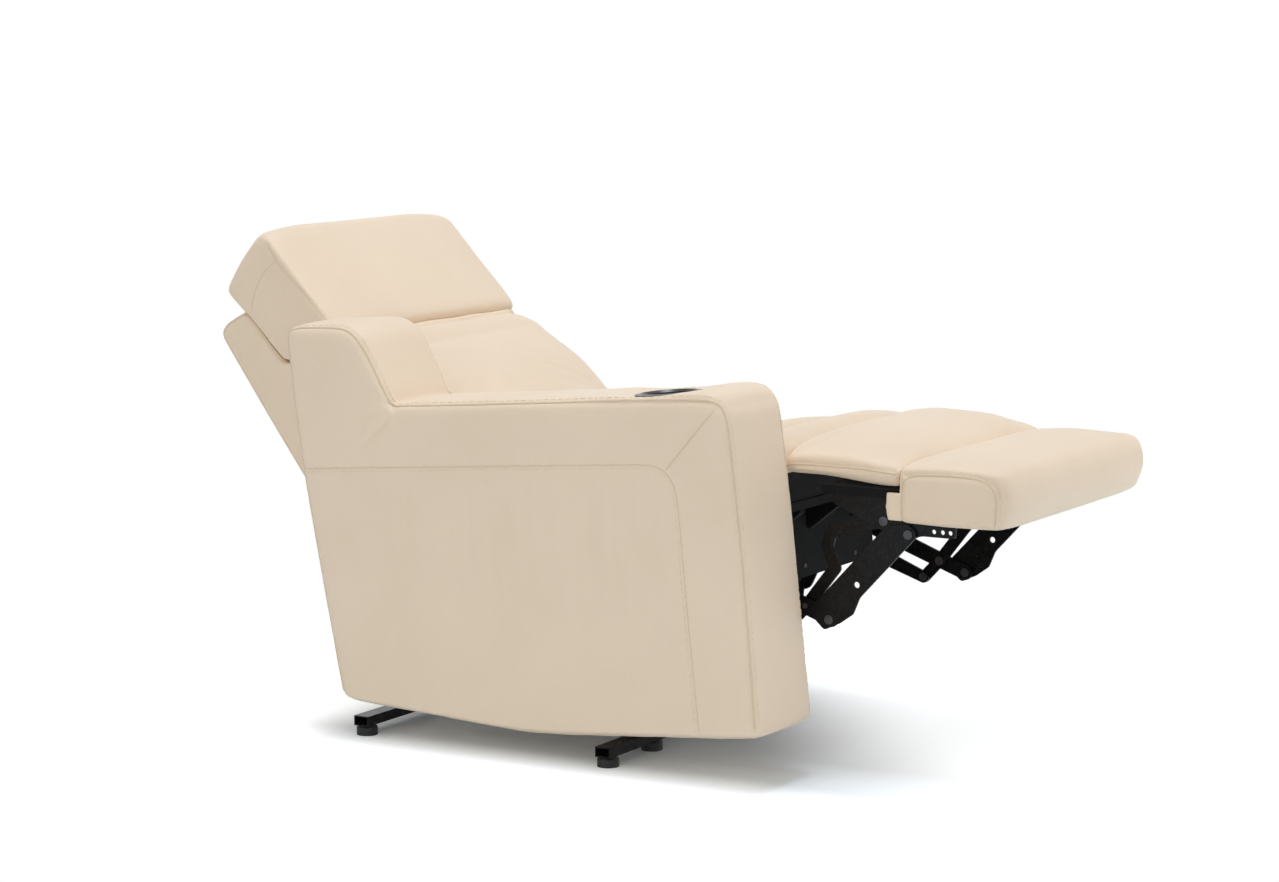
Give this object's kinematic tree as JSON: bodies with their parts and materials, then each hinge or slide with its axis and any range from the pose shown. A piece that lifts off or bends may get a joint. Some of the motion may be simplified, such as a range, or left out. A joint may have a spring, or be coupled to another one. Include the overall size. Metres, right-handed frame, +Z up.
{
  "type": "power recliner chair",
  "caption": "One-armed power recliner in cream leather, laid back with the legrest out on its steel lazy-tong links, with a cup holder in the arm and a tilting headrest",
  "frame": {"origin": "bottom centre of the whole chair's bounding box at rest, on the floor", "axes": "+Y to the back of the chair, +X to the sitter's left when the sitter faces -Y, +Z up; the arm is on the -X side"},
  "size_m": [0.81, 1.5897, 0.8819],
  "materials": {
    "leather": "soft cream leather, semi matt",
    "black_steel": "black powder coat",
    "bright_steel": "zinc plated",
    "timber": "raw plywood",
    "black_cloth": "black non-woven cover over board",
    "webbing": "woven elastic webbing",
    "black_plastic": "moulded",
    "dark_metal": "dark brushed",
    "panel_plastic": "gloss",
    "key_plastic": "satin"
  },
  "bodies": {
    "base": {"base_cross_tubes": "black_steel", "foot_glides": "black_plastic", "base_rails": "black_steel", "base_pivot_pins": "bright_steel", "power_inlet": "black_plastic"},
    "front_rocker": {"front_rocker_links": "black_steel"},
    "rear_rocker": {"rear_rocker_links": "black_steel"},
    "back_link": {"back_drive_links": "black_steel"},
    "seat": {"side_plates": "black_steel", "seat_cross_tubes": "black_steel", "seat_pivot_pins": "bright_steel", "seat_timber_rails": "timber", "seat_front_board": "black_cloth", "seat_front_shelf": "black_cloth", "seat_webbing": "webbing", "seat_side_fillers": "leather", "seat_cushion": "leather", "front_bolster": "leather", "arm_body": "leather", "cup_holder": "dark_metal", "switch_panel": "panel_plastic", "arm_brackets": "black_steel", "legrest_drive": "black_plastic"},
    "back": {"back_hinge_brackets": "black_steel", "back_link_pins": "bright_steel", "back_drive_tube": "black_steel", "back_side_boards": "timber", "back_cross_rails": "timber", "back_shell": "leather", "back_cushion": "leather", "headrest_hinge_tube": "bright_steel", "headrest_straps": "black_steel", "headrest_drive": "black_plastic"},
    "headrest": {"headrest_board": "timber", "headrest_hinge_ears": "black_steel", "headrest_pad": "leather"},
    "upper_leg_arm": {"upper_leg_arms": "black_steel", "leg_arm_pins": "bright_steel"},
    "lower_leg_arm": {"lower_leg_arms": "black_steel", "torque_tube": "black_steel"},
    "wide_coupler": {"wide_couplers": "black_steel"},
    "hooked_link": {"hooked_links": "black_steel", "hooked_link_pins": "bright_steel"},
    "legrest": {"legrest_brackets": "black_steel", "legrest_pins": "bright_steel", "legrest_board": "black_cloth", "calf_pad": "leather", "foot_pad": "leather", "foot_box_frame": "timber"},
    "recline_motor": {"recline_drive": "black_plastic"},
    "recline_rod": {"recline_drive_rod": "bright_steel"},
    "legrest_rod": {"legrest_drive_rod": "bright_steel"},
    "headrest_rod": {"headrest_drive_rod": "bright_steel"},
    "leg_out_key": {"leg_out_button": "key_plastic"},
    "recline_key": {"recline_button": "key_plastic"},
    "head_forward_key": {"head_forward_button": "key_plastic"},
    "leg_in_key": {"leg_in_button": "key_plastic"},
    "upright_key": {"upright_button": "key_plastic"},
    "head_back_key": {"head_back_button": "key_plastic"}
  },
  "joints": [
    {"name": "recline", "type": "hinge", "parent": "base", "child": "front_rocker", "pos_m": [0, -0.10932, 0.05695], "axis": [-1, 0, 0], "range_deg": [0, 36.34]},
    {"name": "rear_rocker_turn", "type": "hinge", "parent": "base", "child": "rear_rocker", "pos_m": [0, 0.20707, 0.05089], "axis": [-1, 0, 0], "range_deg": [0, 38.12]},
    {"name": "back_link_turn", "type": "hinge", "parent": "base", "child": "back_link", "pos_m": [0, 0.25858, 0.07478], "axis": [-1, 0, 0], "range_deg": [0, 34.99]},
    {"name": "seat_on_rocker", "type": "hinge", "parent": "front_rocker", "child": "seat", "pos_m": [0, -0.12784, 0.22091], "axis": [1, 0, 0], "range_deg": [0, 41.34]},
    {"name": "back_hinge", "type": "hinge", "parent": "seat", "child": "back", "pos_m": [0, 0.27292, 0.23503], "axis": [1, 0, 0], "range_deg": [0, 27]},
    {"name": "recline_motor_pivot", "type": "hinge", "parent": "seat", "child": "recline_motor", "pos_m": [0, -0.06676, 0.23062], "axis": [1, 0, 0], "range_deg": [0, 1.7]},
    {"name": "recline_rod_slide", "type": "slide", "parent": "recline_motor", "child": "recline_rod", "axis": [0, 0.9876, -0.1568], "range_m": [0, 0.02519]},
    {"name": "legrest_fold", "type": "hinge", "parent": "seat", "child": "upper_leg_arm", "pos_m": [0, -0.23771, 0.34194], "axis": [1, 0, 0], "range_deg": [0, 85]},
    {"name": "lower_leg_arm_turn", "type": "hinge", "parent": "seat", "child": "lower_leg_arm", "pos_m": [0, -0.20834, 0.31046], "axis": [1, 0, 0], "range_deg": [0, 85]},
    {"name": "hooked_link_turn", "type": "hinge", "parent": "upper_leg_arm", "child": "hooked_link", "pos_m": [0, -0.41177, 0.27652], "axis": [1, 0, 0], "range_deg": [-85, 0]},
    {"name": "wide_coupler_turn", "type": "hinge", "parent": "upper_leg_arm", "child": "wide_coupler", "pos_m": [0, -0.46087, 0.25807], "axis": [1, 0, 0], "range_deg": [-85, 0]},
    {"name": "legrest_turn", "type": "hinge", "parent": "wide_coupler", "child": "legrest", "pos_m": [0, -0.60771, 0.41547], "axis": [1, 0, 0], "range_deg": [0, 85]},
    {"name": "legrest_rod_slide", "type": "slide", "parent": "seat", "child": "legrest_rod", "axis": [0, 0.9962, -0.0872], "range_m": [0, 0.07331]},
    {"name": "headrest_tilt", "type": "hinge", "parent": "back", "child": "headrest", "pos_m": [0, 0.55388, 0.67146], "axis": [1, 0, 0], "range_deg": [0, 30]},
    {"name": "headrest_rod_slide", "type": "slide", "parent": "back", "child": "headrest_rod", "axis": [0, 0.3746, 0.9272], "range_m": [0, 0.02485]},
    {"name": "leg_out_press", "type": "slide", "parent": "seat", "child": "leg_out_key", "axis": [-1, 0, 0], "range_m": [0, 0.0015], "stiffness_N_per_m": 400, "springref_m": -0.001},
    {"name": "recline_press", "type": "slide", "parent": "seat", "child": "recline_key", "axis": [-1, 0, 0], "range_m": [0, 0.0015], "stiffness_N_per_m": 400, "springref_m": -0.001},
    {"name": "head_forward_press", "type": "slide", "parent": "seat", "child": "head_forward_key", "axis": [-1, 0, 0], "range_m": [0, 0.0015], "stiffness_N_per_m": 400, "springref_m": -0.001},
    {"name": "leg_in_press", "type": "slide", "parent": "seat", "child": "leg_in_key", "axis": [-1, 0, 0], "range_m": [0, 0.0015], "stiffness_N_per_m": 400, "springref_m": -0.001},
    {"name": "upright_press", "type": "slide", "parent": "seat", "child": "upright_key", "axis": [-1, 0, 0], "range_m": [0, 0.0015], "stiffness_N_per_m": 400, "springref_m": -0.001},
    {"name": "head_back_press", "type": "slide", "parent": "seat", "child": "head_back_key", "axis": [-1, 0, 0], "range_m": [0, 0.0015], "stiffness_N_per_m": 400, "springref_m": -0.001}
  ],
  "couplings": [
    {"joint": "rear_rocker_turn", "follows": "recline", "ratio": 1.049},
    {"joint": "back_link_turn", "follows": "recline", "ratio": 0.96284},
    {"joint": "seat_on_rocker", "follows": "recline", "ratio": 1.1376},
    {"joint": "back_hinge", "follows": "recline", "ratio": 0.74306},
    {"joint": "recline_motor_pivot", "follows": "recline", "ratio": 0.04671},
    {"joint": "recline_rod_slide", "follows": "recline", "m_per_rad": 0.039718},
    {"joint": "lower_leg_arm_turn", "follows": "legrest_fold", "ratio": 1},
    {"joint": "hooked_link_turn", "follows": "legrest_fold", "ratio": -1},
    {"joint": "wide_coupler_turn", "follows": "legrest_fold", "ratio": -1},
    {"joint": "legrest_turn", "follows": "legrest_fold", "ratio": 1},
    {"joint": "legrest_rod_slide", "follows": "legrest_fold", "m_per_rad": 0.049414},
    {"joint": "headrest_rod_slide", "follows": "headrest_tilt", "m_per_rad": 0.047454}
  ]
}
